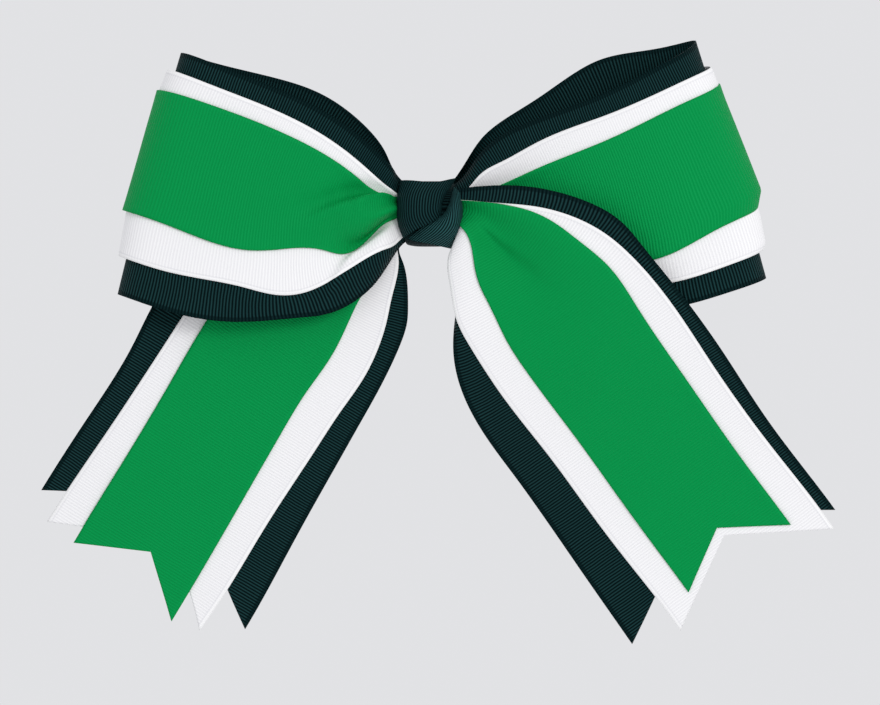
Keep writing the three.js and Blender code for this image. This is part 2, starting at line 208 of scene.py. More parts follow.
leftLoop = {
    "outSign": -1,
    "axis": (-0.95, 0, 0.31),
    "reach": {
        "base": [(0, 0), (0.5, 1), (1, 0)],
        "middle": [(0.09, 2.1), (0.17, 3.1), (0.67, 3.5), (0.85, 2.3)],
        "top": [(0.17, 3.3), (0.67, 4.2)],
    },
    "edges": [0, 0.092, 0.181, 0.667, 0.848, 1],
    "folds": [0, 0.12, 0.28, 0.42, 0.66, 0.76, 1],
    "endStation": 9,
    "lips": [
        {"s": [6, 11.4, 17, 20.6, 26.3, 31.3, 37.4, 41.6, 48],
         "v": [0.19, 0.19, 0.193, 0.205, 0.269, 0.356, 0.456, 0.513, 0.58],
         "height": [0, 0.3, 2.4, 3.6, 4.2, 3.8, 3, 1.8, 0],
         "edge": [0.5, 0.5, 0.5, 0.6, 0.9, 1.4, 2, 3, 5], "fall": 6.5, "over": 0.48},
        {"s": [6, 10.3, 17.6, 22.9, 25.6, 27.5, 29.8, 32, 34],
         "v": [0.66, 0.669, 0.704, 0.7, 0.7, 0.74, 0.863, 1, 1.3],
         "height": [0, 0.5, 2.8, 3.6, 3.4, 2.6, 1.4, 0.5, 0],
         "edge": [0.5, 0.5, 0.5, 0.5, 0.7, 1.4, 3, 4, 4], "fall": 7, "over": 0.7},
        {"s": [10, 17, 20.6, 26.3, 31.3, 37.4, 41.6, 52],
         "v": [0.1, 0.1, 0.11, 0.17, 0.26, 0.36, 0.42, 0.5],
         "height": [0, -0.8, -1.8, -2.8, -3, -2.6, -1.8, 0],
         "edge": [1, 1.2, 1.6, 2.4, 2.8, 3.4, 4, 5], "fall": 6, "over": 0},
        {"s": [12, 17, 22, 26, 32], "v": [0.6, 0.61, 0.6, 0.58, 0.58],
         "height": [0, -1.4, -2.6, -2.2, 0], "edge": [1.2, 1.4, 1.6, 2, 3], "fall": 4, "over": 0},
    ],
    "stations": [
        [-0.2, -19, 6.8, -0.2, -19, -6.8, 0.2, 0.24, 0.56, 0.9, 1, 0, 0.4, -0.8, 0.8, -0.8, 0.6, 0],
        [-4.3, -19.6, 7.6, -4.3, -19.5, -7.4, 0.22, 0.25, 0.56, 0.9, 1, 0.2, 0.6, -1.2, 1.2, -1.2, 0.9, -0.4],
        [-9, -20.3, 10.2, -8.9, -19.8, -10, 0.235, 0.27, 0.56, 0.88, 1, 0.3, 0.5, -0.8, 0.8, -0.8, 0.5, -0.4],
        [-11.6, -23.4, 13.6, -17.3, -23, -21.9, 0.178, 0.235, 0.5, 0.71, 1, 0.4, 0.8, -1.4, 1.8, -2.4, 1.2, 0],
        [-14.4, -25.8, 17, -26, -24.8, -29, 0.146, 0.219, 0.6, 0.713, 1, 0.3, 0.6, -0.9, 1.7, -2, 0.9, 0.4],
        [-23.4, -29, 25, -38.2, -27.5, -32.2, 0.119, 0.198, 0.643, 0.85, 1, 0, 0.3, 0.1, 0.9, -0.4, -0.1, 0.2],
        [-41.8, -31.3, 35.8, -59.7, -30, -33.7, 0.091, 0.167, 0.685, 0.848, 1, 0, 0.2, 0.5, 0.6, 0.3, 0.2, 0],
        [-65, -30, 45.3, -84.4, -29.2, -29.3, 0.083, 0.159, 0.672, 0.85, 1, 0, 0.1, 0.3, 0.4, 0.2, 0.1, 0],
        [-74.2, -26.4, 48.9, -93.8, -26.2, -26, 0.08, 0.165, 0.67, 0.852, 1, 0, 0, 0, 0, 0, 0, 0],
        [-76.9, -20, 49.8, -96.5, -20, -25, 0.078, 0.169, 0.669, 0.849, 1, 0, 0, 0, 0, 0, 0, 0],
        [-74.2, -13.8, 49.2, -93.8, -14, -25.6, 0.085, 0.175, 0.669, 0.85, 1, 0, 0, 0, 0, 0, 0, 0],
        [-66.8, -10.6, 47.2, -85.5, -10.8, -27.3, 0.092, 0.181, 0.667, 0.848, 1, 0, 0, 0.1, 0.2, 0.1, 0, 0],
        [-43.8, -8.6, 41.5, -60.7, -8.8, -31.1, 0.092, 0.181, 0.667, 0.848, 1, 0, 0, 0.2, 0.2, 0.1, 0, 0],
        [-25.7, -9.8, 32.4, -38.8, -9.8, -29.2, 0.095, 0.19, 0.66, 0.84, 1, 0, 0.4, -0.3, 0.5, -0.4, 0.3, 0],
        [-14.5, -12, 20.4, -24.5, -11.8, -24.4, 0.11, 0.2, 0.65, 0.82, 1, 0, 0.7, -0.8, 0.9, -0.9, 0.7, 0],
        [-9.1, -13.8, 10.8, -8.9, -13.8, -9.3, 0.13, 0.22, 0.62, 0.8, 1, 0, 0.8, -1, 1, -1, 0.8, 0],
        [-4.4, -14.5, 7.5, -4.4, -14.5, -6.8, 0.13, 0.22, 0.62, 0.8, 1, 0, 0.5, -0.7, 0.7, -0.7, 0.5, 0],
        [-0.2, -14.5, 7, -0.2, -14.5, -6.6, 0.13, 0.22, 0.62, 0.8, 1, 0, 0.4, -0.5, 0.5, -0.5, 0.4, 0],
    ],
}

rightLoop = {
    "outSign": 1,
    "axis": (0.93, 0, 0.38),
    "reach": {
        "base": [(0, 0), (0.5, 0.7), (1, 0)],
        "middle": [(0.108, 1.7), (0.19, 2.4), (0.71, 3.4), (0.85, 2.6), (0.88, 1.2)],
        "top": [(0.19, 2.2), (0.63, 5.4), (0.69, 2.6)],
    },
    "edges": [0, 0.108, 0.19, 0.69, 0.88, 1],
    "folds": [0, 0.1, 0.24, 0.42, 0.62, 0.8, 1],
    "endStation": 9,
    "stations": [
        [0.2, -18.5, 6.8, 0.2, -18.5, -6.6, 0.2, 0.3, 0.7, 0.85, 1, 0, 0.5, -0.8, 0.8, -0.8, 0.5, 0],
        [5, -18.6, 7.6, 5, -18.5, -6.9, 0.24, 0.32, 0.7, 0.86, 1, 0, 1, -1, 1, -1, 0.7, 0],
        [9, -19.5, 10.2, 9.6, -19, -8.2, 0.25, 0.34, 0.7, 0.87, 1, -0.6, 1.5, -1.3, 1.1, -1.1, 0.9, 0],
        [13.6, -21.4, 16.2, 22.6, -21.4, -17.5, 0.157, 0.3, 0.7, 0.88, 1, -0.8, 1.4, -1, 1, -1, 0.7, 0],
        [19.8, -23.3, 22.6, 35.6, -23.8, -25.3, 0.146, 0.273, 0.7, 0.88, 1, -0.5, 1, -0.5, 0.9, -0.6, 0.4, 0],
        [32.1, -26.6, 28.6, 49, -27.4, -28.8, 0.115, 0.24, 0.71, 0.88, 1, -0.2, 0.6, 0.1, 0.6, 0, 0.2, 0],
        [52.4, -29.6, 36.2, 70.5, -29.6, -29.8, 0.096, 0.201, 0.775, 0.89, 1, 0, 0.3, 0.4, 0.5, 0.3, 0.1, 0],
        [72.1, -29.2, 46.1, 91.8, -29.4, -24.7, 0.104, 0.188, 0.735, 0.892, 1, 0, 0.1, 0.2, 0.3, 0.2, 0, 0],
        [79.6, -26.2, 50.6, 101.2, -26.4, -21.4, 0.11, 0.19, 0.722, 0.888, 1, 0, 0, 0, 0, 0, 0, 0],
        [82.2, -20, 53.5, 103.9, -20, -20, 0.119, 0.192, 0.716, 0.885, 1, 0, 0, 0, 0, 0, 0, 0],
        [79.6, -13.8, 53.6, 101.2, -13.8, -20.8, 0.112, 0.19, 0.7, 0.885, 1, 0, 0, 0, 0, 0, 0, 0],
        [71.4, -10.6, 51.9, 93, -10.6, -23, 0.108, 0.19, 0.69, 0.88, 1, 0, 0, 0.1, 0.2, 0.1, 0, 0],
        [52.2, -8.6, 48.1, 71.6, -8.8, -26.7, 0.108, 0.19, 0.69, 0.88, 1, 0, 0, 0.2, 0.2, 0.1, 0, 0],
        [32.8, -9.6, 35.8, 49.6, -9.7, -26.7, 0.108, 0.19, 0.69, 0.88, 1, 0, 0.4, -0.3, 0.5, -0.4, 0.3, 0],
        [16.8, -11.6, 24.5, 30, -11.4, -23, 0.12, 0.2, 0.68, 0.86, 1, -0.2, 0.9, -0.8, 0.9, -0.8, 0.5, 0],
        [9.3, -13.8, 13.4, 11.5, -13.8, -10.4, 0.14, 0.22, 0.66, 0.84, 1, -0.4, 1.2, -1, 1, -1, 0.7, 0],
        [5, -14.5, 8.4, 5, -14.5, -6.8, 0.14, 0.22, 0.66, 0.84, 1, 0, 0.6, -0.7, 0.7, -0.7, 0.5, 0],
        [0.2, -14.5, 7, 0.2, -14.5, -6.6, 0.14, 0.22, 0.66, 0.84, 1, 0, 0.4, -0.5, 0.5, -0.5, 0.4, 0],
    ],
}

leftTail = {
    "outSign": -1,
    "edges": [0, 0.1, 0.225, 0.733, 0.875, 1],
    "folds": [0, 0.1, 0.25, 0.45, 0.62, 0.8, 1],
    "stations": [
        [-4.4, -18.5, 6.7, -4.4, -18.5, -6.9, 0.1, 0.225, 0.733, 0.9, 1, 0, 0.4, -0.4, 0.5, -0.5, 0.4, 0],
        [-9.4, -18.5, 6.4, -8.8, -18.5, -9.4, 0.1, 0.225, 0.733, 0.91, 1, 0, 0.6, -0.6, 0.7, -0.7, 0.5, 0],
        [-27.9, -19, 5.5, -8.1, -18.5, -15.9, 0.1, 0.225, 0.733, 0.913, 1, 0, 0.5, -0.6, 0.7, -0.7, 0.3, 0],
        [-49.6, -20, 2.6, -6.8, -18, -28.4, 0.1, 0.225, 0.735, 0.888, 1, 0, 0.3, -0.2, 0.5, -0.3, 0.1, 0],
        [-66.7, -20.5, -4.5, -7.8, -17.5, -36.7, 0.11, 0.225, 0.745, 0.904, 1, 0, 0.1, 0.1, 0.3, 0.1, 0, 0],
        [-77.5, -20.5, -15.1, -13.9, -16.5, -50.8, 0.13, 0.229, 0.758, 0.922, 1, 0, 0, 0.3, 0.4, 0.3, 0, 0],
        [-85.9, -20, -28.4, -21.5, -15.5, -64.7, 0.132, 0.229, 0.742, 0.906, 1, 0, 0, 0.3, 0.5, 0.3, 0, 0],
        [-92.2, -18.5, -40.8, -28.4, -14, -76.9, 0.114, 0.221, 0.734, 0.893, 1, 0, 0, 0.3, 0.5, 0.3, 0, 0],
        [-108.1, -13.5, -65.7, -42.8, -10.5, -102.6, 0.101, 0.226, 0.734, 0.869, 1, 0, 0, 0.2, 0.4, 0.2, 0, 0],
        [-121.4, -9.5, -86.1, -54.5, -8, -124, 0.09, 0.226, 0.731, 0.857, 1, 0, 0, 0.1, 0.2, 0.1, 0, 0],
        [-129.5, -7.5, -99.5, -62.6, -6, -137.4, 0.085, 0.226, 0.731, 0.845, 1, 0, 0, 0, 0, 0, 0, 0],
    ],
}

rightTail = {
    "outSign": 1,
    "lips": [
        {"s": [10, 17.4, 26.4, 35.7, 46], "v": [0.56, 0.519, 0.475, 0.444, 0.42],
         "height": [0, -2.4, -3, -2, 0], "edge": [1, 1, 1.4, 2.4, 4], "fall": 7, "over": 0},
    ],
    "edges": [0, 0.055, 0.19, 0.7, 0.82, 1],
    "folds": [0, 0.1, 0.25, 0.45, 0.62, 0.8, 1],
    "stations": [
        [4.6, -22, 6.6, 4.9, -22, -7, 0.246, 0.24, 0.66, 0.96, 1, 0.6, 1.2, -0.3, -0.6, 0.6, 0.8, -0.8],
        [9.2, -23.6, 7.5, 9.3, -22.7, -7.7, 0.236, 0.23, 0.67, 1, 1, 1, 1.8, -0.2, -0.8, 0.9, 1.2, -1.6],
        [18.5, -27, 8.3, 7.7, -25, -11.4, 0.243, 0.24, 0.648, 1.02, 1.01, 1.6, 1.9, 0.4, -1.3, 1, 1.5, -2.6],
        [36.9, -33, 6.8, 7.1, -27, -22.3, 0.169, 0.211, 0.763, 1.015, 0.99, 1, 0.9, 1, -1.7, 0.9, 1.8, -3.4],
        [55.2, -36.3, -0.4, 7.4, -27, -34.6, 0.112, 0.221, 0.784, 0.976, 1, 0.4, 0.3, 1, -0.9, 0.6, 1.5, -1.6],
        [64.4, -36.8, -9.6, 7.8, -25.5, -47.3, 0.072, 0.182, 0.745, 0.901, 1, 0, 0, 0.8, 0, 0.3, 0.8, -0.4],
        [73.6, -35.3, -20.9, 12.6, -23, -61.3, 0.057, 0.182, 0.716, 0.857, 1, 0, 0.1, 0.4, 0.4, 0.2, 0.2, 0],
        [88.7, -29, -40.8, 26.7, -17.5, -82.1, 0.067, 0.195, 0.706, 0.838, 1, 0, 0, 0.2, 0.3, 0.2, 0, 0],
        [105.7, -20, -65.6, 44.1, -12, -106.9, 0.057, 0.187, 0.698, 0.828, 1, 0, 0, 0.1, 0.2, 0.1, 0, 0],
        [126.3, -12, -92.2, 63.1, -9, -134.2, 0.05, 0.187, 0.69, 0.808, 1, 0, 0, 0, 0, 0, 0, 0],
        [134.5, -9, -104, 71.3, -8, -146, 0.05, 0.187, 0.69, 0.808, 1, 0, 0, 0, 0, 0, 0, 0],
    ],
}


def runKnots(run):
    # distance in mm along the middle line from station to station
    rows = np.array(run["stations"], float)
    middle = (rows[:, 0:3] + rows[:, 3:6]) / 2
    return np.concatenate([[0], np.cumsum(np.linalg.norm(np.diff(middle, axis=0), axis=1))])


def runSurface(run, s, v, tuck=0.0):
    # point = upper + (lower - upper)*share(v) + out*height, at s mm along and v of the base ribbon's width:
    # share runs straight between the band edges, height is a spline over the fold lines plus the creases' lips,
    # and out is the level normal of the middle line's direction; tuck holds an inner layer back inside the lips
    knots = runKnots(run)
    rows = np.array(run["stations"], float)
    s = s.ravel()
    k = naturalSpline(knots, rows, s)
    nearby = 0.6      # mm each way for the direction
    ahead = naturalSpline(knots, rows, np.minimum(s + nearby, knots[-1]))
    behind = naturalSpline(knots, rows, np.maximum(s - nearby, 0))
    along = (ahead - behind)[:, 0:3] + (ahead - behind)[:, 3:6]
    out = np.stack([along[:, 1], -along[:, 0], np.zeros(len(along))], 1) * run["outSign"]
    out /= np.linalg.norm(out, axis=1)[:, None]
    edges = np.array(run["edges"])
    bands = np.concatenate([np.zeros((len(k), 1)), k[:, 6:11]], 1)
    flat = v.ravel()
    cell = np.clip(np.searchsorted(edges, flat, side="right") - 1, 0, len(edges) - 2)
    part = (flat - edges[cell]) / (edges[cell + 1] - edges[cell])
    index = np.arange(len(flat))
    share = bands[index, cell] * (1 - part) + bands[index, cell + 1] * part
    weights = naturalSpline(run["folds"], np.eye(len(run["folds"])), flat)
    height = (k[:, 11:18] * weights).sum(1)
    width = np.linalg.norm(k[:, 3:6] - k[:, 0:3], axis=1)
    for lip in run.get("lips", []):     # past the lip's line: height*(1 + tanh(past/edge))/2 * exp(-past/fall)
        past = (flat - np.interp(s, lip["s"], lip["v"])) * width
        step = (1 + np.tanh(past / np.interp(s, lip["s"], lip["edge"]))) / 2
        step = step * np.exp(-np.maximum(past, 0) / lip["fall"])
        rise = step * np.interp(s, lip["s"], lip["height"])
        height = height + rise
        share = share - (lip["over"] * rise - tuck * step * np.clip(rise, 0, 1)) / width
    point = k[:, 0:3] + (k[:, 3:6] - k[:, 0:3]) * share[:, None] + out * height[:, None]
    return point.reshape(v.shape + (3,)), out.reshape(v.shape + (3,))


def edgeDistance(points):
    # mm to the nearer long edge: steps across the rows, less their part along the ribbon, summed from both edges
    along = np.gradient(points, axis=0)
    along /= np.linalg.norm(along, axis=2)[..., None] + 1e-9
    step = np.diff(points, axis=1)
    tangent = (along[:, 1:] + along[:, :-1]) / 2
    step = np.linalg.norm(step - (step * tangent).sum(2)[..., None] * tangent, axis=2)
    below = np.concatenate([np.zeros((len(points), 1)), np.cumsum(step, axis=1)], 1)
    return np.minimum(below, below[:, -1:] - below)


def ribGrid(run):
    # mm along the cloth, u, at a coarse grid of s and v: least squares of u[i+1] - u[i] = step length along the run
    # and u[j+1] - u[j] = step across times the unit direction along, so lines of equal u cross the edges squarely
    n, m = ribbon["ribGridSize"]
    sAt = np.linspace(0, runKnots(run)[-1], n)
    vAt = np.linspace(0, 1, m)
    points, _ = runSurface(run, np.repeat(sAt[:, None], m, 1), np.repeat(vAt[None, :], n, 0))
    stepAlong = np.diff(points, axis=0)
    lengthAlong = np.linalg.norm(stepAlong, axis=2)
    direction = np.gradient(points, axis=0)
    direction /= np.linalg.norm(direction, axis=2)[..., None]
    stepAcross = np.diff(points, axis=1)
    lengthAcross = np.linalg.norm(stepAcross, axis=2)
    offset = (stepAcross * (direction[:, 1:] + direction[:, :-1]) / 2).sum(2)
    index = np.arange(n * m).reshape(n, m)
    pairs = np.concatenate([np.stack([index[:-1].ravel(), index[1:].ravel()], 1),
                            np.stack([index[:, :-1].ravel(), index[:, 1:].ravel()], 1)])
    wanted = np.concatenate([lengthAlong.ravel(), offset.ravel()])
    weight = np.concatenate([(1 / lengthAlong ** 2).ravel(), (1 / lengthAcross ** 2).ravel()])
    normal = np.zeros((n * m, n * m))
    right = np.zeros(n * m)
    for a, b, sign in ((0, 0, 1), (1, 1, 1), (0, 1, -1), (1, 0, -1)):
        np.add.at(normal, (pairs[:, a], pairs[:, b]), sign * weight)
    np.add.at(right, pairs[:, 1], weight * wanted)
    np.add.at(right, pairs[:, 0], -weight * wanted)
    normal[0, 0] += 1      # holds u at zero in one corner
    return sAt, vAt, np.linalg.solve(normal, right).reshape(n, m)


def ribCoordinate(grid, s, v):
    # u at each s and v: a spline down the grid's rows times a spline's weights across them
    sAt, vAt, u = grid
    rows = naturalSpline(sAt, u, s.ravel())
    weights = naturalSpline(vAt, np.eye(len(vAt)), v.ravel())
    return (rows * weights).sum(1).reshape(s.shape)


def cutLength(run, layer, v):
    # where the ribbon ends at each v: straight lines from the upper tip to the notch and on to the lower tip
    total = runKnots(run)
    if "cut" not in layer:
        return np.full_like(v, total[-1])
    upper, notch, lower, at = layer["cut"]
    middle = layer["from"] + (layer["to"] - layer["from"]) * at
    lengths = np.interp([upper, notch, lower], np.arange(len(total)), total)      # from stations to mm
    return np.interp(v, [layer["from"], middle, layer["to"]], lengths)


def ribbonPiece(name, run, layer, grid, seed):
    # one thin ribbon laid on the run's surface: back = surface + out*(rank*step + ease + ripple), front a thickness on,
    # where ease lifts both edges as exp(-(distance/width)^2) and ripple is a product of two slow sines
    baseWidth = ribbon["flatWidths"]["base"]
    span = layer["to"] - layer["from"]
    v = np.linspace(layer["from"], layer["to"], max(8, int(span * baseWidth / ribbon["cellAcross"])) + 1)
    if "cut" in layer:      # keep a mesh line on the notch
        notch = layer["from"] + span * layer["cut"][3]
        v[np.abs(v - notch).argmin()] = notch
    ends = cutLength(run, layer, v)
    along = int(ends.max() / ribbon["cellAlong"])
    s = ends[None, :] * np.linspace(0, 1, along + 1)[:, None]
    if "cut" in layer:      # rows stay square to the ribbon until near its tips
        square = ends.min() - ribbon["cutZone"]
        straight = np.linspace(0, ends.max(), along + 1)[:, None]
        blendIn = np.clip((straight - square) / (ends.max() - square), 0, 1)
        s = np.where(straight < square, straight, square + (ends[None, :] - square) * blendIn)
    vv = np.broadcast_to(v[None, :], s.shape)
    middle, out = runSurface(run, s, vv, tuck=ribbon["tuck"] * (2 - layer["rank"]))
    nearEdge = np.minimum(vv - layer["from"], layer["to"] - vv) * baseWidth
    ease = np.exp(-(nearEdge / ribbon["easeWidth"]) ** 2) * layer["edgeLift"]
    shortWave, longWave = ribbon["easeWaves"]
    ease = ease * (ribbon["easeMean"]
                   + ribbon["easeSwing"] * np.sin(s / shortWave + seed) * np.sin(s / longWave + 2 * seed))
    shortWave, longWave = ribbon["rippleWaves"]
    slowAcross, fastAcross = ribbon["rippleAcross"]
    ripple = ribbon["rippleHeight"] * (np.sin(s / shortWave + seed * 3 + vv * slowAcross)
                                       * np.sin(vv * fastAcross + s / longWave))
    lift = (layer["rank"] * ribbon["layerStep"] + ease + ripple)[..., None]
    if "reach" in run:      # upper layers stand further out round the loop's end
        reachAt, reachBy = zip(*run["reach"][layer["kind"]])
        fromEnd = s - runKnots(run)[run["endStation"]]
        slack = np.interp(vv, reachAt, reachBy) * np.exp(-(fromEnd / ribbon["reachSpread"]) ** 2)
        middle = middle + slack[..., None] * np.array(run["axis"])
    front = middle + out * (lift + ribbon["thickness"])
    maps = {
        "weaveUv": np.stack([ribCoordinate(grid, s, vv), edgeDistance(front)], -1) * uvScale,
        "placeUv": np.stack([s, (vv - layer["from"]) * baseWidth], -1) * uvScale,
    }
    return closedShell(name, front, middle + out * lift, maps)


print("stations read:", sum(len(r["stations"]) for r in (leftLoop, rightLoop, leftTail, rightTail)))


def addNode(tree, kind, values=None, **settings):
    # a value that is a socket is linked, any other is set
    node = tree.nodes.new(kind)
    for key, value in settings.items():
        setattr(node, key, value)
    for key, value in (values or {}).items():
        if isinstance(value, bpy.types.NodeSocket):
            tree.links.new(value, node.inputs[key])
        else:
            node.inputs[key].default_value = value
    return node


def maths(tree, operation, a, b=0.0):
    return addNode(tree, "ShaderNodeMath", {0: a, 1: b}, operation=operation).outputs[0]


def newGroup(name, inputs, outputs):
    group = bpy.data.node_groups.new(name, "ShaderNodeTree")
    for label, kind, value in inputs:
        socket = group.interface.new_socket(label, in_out="INPUT", socket_type=kind)
        if value is not None:
            socket.default_value = value
    for label, kind in outputs:
        group.interface.new_socket(label, in_out="OUTPUT", socket_type=kind)
    return group, group.nodes.new("NodeGroupInput"), group.nodes.new("NodeGroupOutput")


weaveShape = {
    "ridge": 1.2, "crestPaintedHighlight": 1.8,         # powers that round the ribs and narrow the painted highlight on their tops
    "drift": 0.6, "driftScale": 9.0,    # mm the ribs wander
    "threadPitch": 0.4, "threadHeight": 0.05, "fuzzHeight": 0.1, "fuzzScale": 260.0,
    "selvedge": (0.9, 1.35), "selvedgeFlat": 0.5,      # mm from the edge where the plain strip fades out
    "seamAt": 1.2, "seam": (0.12, 0.35),               # mm from the edge, and either side of that
    "shade": (0.3, 0.7), "shadeScale": 3.0,            # the part of a slow noise that clouds the colour
}


def grosgrainGroup():
    # ribs across the ribbon: height = 1 - |2*fract(along/pitch) - 1|^ridge, broken by warp threads along the ribbon;
    # the selvedge is the strip beside either long edge, with a thin line where it meets the ribs
    shape = weaveShape
    group, given, result = newGroup("grosgrainWeave", [
        ("Weave", "NodeSocketVector", None), ("Place", "NodeSocketVector", None), ("Pitch", "NodeSocketFloat", 0.9),
    ], [("Height", "NodeSocketFloat"), ("Crest", "NodeSocketFloat"), ("Selvedge", "NodeSocketFloat"),
        ("Line", "NodeSocketFloat"), ("Shade", "NodeSocketFloat")])
    split = addNode(group, "ShaderNodeSeparateXYZ", {0: given.outputs["Weave"]})
    along = maths(group, "MULTIPLY", split.outputs["X"], 1 / uvScale)
    fromEdge = maths(group, "MULTIPLY", split.outputs["Y"], 1 / uvScale)
    place = given.outputs["Place"]
    wobble = addNode(group, "ShaderNodeTexNoise", {"Vector": place, "Scale": shape["driftScale"], "Detail": 2.0})
    drift = maths(group, "MULTIPLY", maths(group, "SUBTRACT", wobble.outputs[0], 0.5), shape["drift"])
    ribs = maths(group, "DIVIDE", maths(group, "ADD", along, drift), given.outputs["Pitch"])
    triangle = maths(group, "ABSOLUTE", maths(group, "SUBTRACT", maths(
        group, "MULTIPLY", maths(group, "FRACT", ribs), 2.0), 1.0))
    crestPaintedHighlight = maths(group, "SUBTRACT", 1.0, maths(group, "POWER", triangle, shape["ridge"]))
    threads = maths(group, "SINE", maths(group, "MULTIPLY", fromEdge, 2 * math.pi / shape["threadPitch"]))
    fuzz = addNode(group, "ShaderNodeTexNoise", {
        "Vector": place, "Scale": shape["fuzzScale"], "Detail": 3.0, "Roughness": 0.6})
    threaded = maths(group, "ADD", crestPaintedHighlight, maths(group, "MULTIPLY", threads, shape["threadHeight"]))
    fuzzed = maths(group, "MULTIPLY", maths(group, "SUBTRACT", fuzz.outputs[0], 0.5), shape["fuzzHeight"])
    height = maths(group, "ADD", threaded, fuzzed)
    selvedge = addNode(group, "ShaderNodeMapRange", {
        "Value": fromEdge, "From Min": shape["selvedge"][0], "From Max": shape["selvedge"][1],
        "To Min": 1.0, "To Max": 0.0})
    line = addNode(group, "ShaderNodeMapRange", {
        "Value": maths(group, "ABSOLUTE", maths(group, "SUBTRACT", fromEdge, shape["seamAt"])),
        "From Min": shape["seam"][0], "From Max": shape["seam"][1], "To Min": 1.0, "To Max": 0.0})
    shade = addNode(group, "ShaderNodeTexNoise", {
        "Vector": place, "Scale": shape["shadeScale"], "Detail": 4.0, "Roughness": 0.55})
    flatter = maths(group, "SUBTRACT", 1.0, maths(group, "MULTIPLY", selvedge.outputs[0], shape["selvedgeFlat"]))
    # Crest is the rib-top mask: it lays the painted highlight on the rib tops and the painted shade in the grooves, and
    # sets the roughness
    for socket, value in (
        ("Height", maths(group, "MULTIPLY", height, flatter)),
        ("Crest", maths(group, "POWER", crestPaintedHighlight, shape["crestPaintedHighlight"])),
        ("Selvedge", selvedge.outputs[0]), ("Line", line.outputs[0]), ("Shade", shade.outputs[0]),
    ):
        group.links.new(value, result.inputs[socket])
    return group


def wearGroup():
    # fine handling marks: long noise streaks and small specks, both from the object's own coordinates
    group, given, result = newGroup("handlingMarks", [
        ("Place", "NodeSocketVector", None), ("Scale", "NodeSocketFloat", 300.0),
    ], [("Streaks", "NodeSocketFloat"), ("Specks", "NodeSocketFloat")])
    stretched = addNode(group, "ShaderNodeMapping", {"Vector": given.outputs["Place"], "Scale": (1.0, 9.0, 9.0)})
    streaks = addNode(group, "ShaderNodeTexNoise", {
        "Vector": stretched.outputs[0], "Scale": given.outputs["Scale"], "Detail": 4.0})
    finer = maths(group, "MULTIPLY", given.outputs["Scale"], 4.0)
    specks = addNode(group, "ShaderNodeTexNoise", {"Vector": given.outputs["Place"], "Scale": finer, "Detail": 2.0})
    group.links.new(streaks.outputs[0], result.inputs["Streaks"])
    group.links.new(specks.outputs[0], result.inputs["Specks"])
    return group


weave = grosgrainGroup()
marks = wearGroup()


def newMaterial(name):
    material = bpy.data.materials.new(name)
    material.use_nodes = True
    tree = material.node_tree
    return material, tree, tree.nodes["Principled BSDF"]


def mixColour(tree, factor, a, b):
    node = tree.nodes.new("ShaderNodeMix")
    node.data_type = "RGBA"
    colourSockets = [i for i in node.inputs if i.type == "RGBA"]
    factorSocket = [i for i in node.inputs if i.type == "VALUE"][0]
    for socket, value in ((factorSocket, factor), (colourSockets[0], a), (colourSockets[1], b)):
        if isinstance(value, bpy.types.NodeSocket):
            tree.links.new(value, socket)
        elif socket.type == "RGBA":
            socket.default_value = (*value, 1)
        else:
            socket.default_value = value
    return [o for o in node.outputs if o.type == "RGBA"][0]


def ribbonMaterial(name, look):
    material, tree, shader = newMaterial(name)
    cloth = addNode(tree, "ShaderNodeGroup", node_tree=weave)
    for socket, label in (("Weave", "weaveUv"), ("Place", "placeUv")):
        tree.links.new(addNode(tree, "ShaderNodeUVMap", uv_map=label).outputs[0], cloth.inputs[socket])
    cloth.inputs["Pitch"].default_value = ribbon["ribPitch"]
    # painted light: rib tops take a painted highlight and the grooves a painted shade
    ribs = mixColour(tree, cloth.outputs["Crest"], look["groovePaintedShade"], look["crestPaintedHighlight"])
    cloudy = addNode(tree, "ShaderNodeMapRange", {
        "Value": cloth.outputs["Shade"], "From Min": weaveShape["shade"][0], "From Max": weaveShape["shade"][1],
        "To Min": 0.0, "To Max": look["cloud"]})
    clouded = mixColour(tree, cloudy.outputs[0], ribs, look["shadow"])
    edgeShare = maths(tree, "MULTIPLY", cloth.outputs["Selvedge"], look["edgeShare"])
    edged = mixColour(tree, edgeShare, clouded, look["edge"])
    lineShare = maths(tree, "MULTIPLY", cloth.outputs["Line"], look["lineShare"])
    lined = mixColour(tree, lineShare, edged, look["line"])
    tree.links.new(lined, shader.inputs["Base Color"])
    rough = addNode(tree, "ShaderNodeMapRange", {
        "Value": cloth.outputs["Crest"], "To Min": look["roughGroove"], "To Max": look["roughCrest"]})
    tree.links.new(rough.outputs[0], shader.inputs["Roughness"])
    bump = addNode(tree, "ShaderNodeBump", {
        "Height": cloth.outputs["Height"], "Strength": 1.0, "Distance": look["ribHeight"]})
    tree.links.new(bump.outputs[0], shader.inputs["Normal"])
    shader.inputs["Specular IOR Level"].default_value = look["specular"]
    shader.inputs["Specular Tint"].default_value = (*look["shine"], 1)
    return material
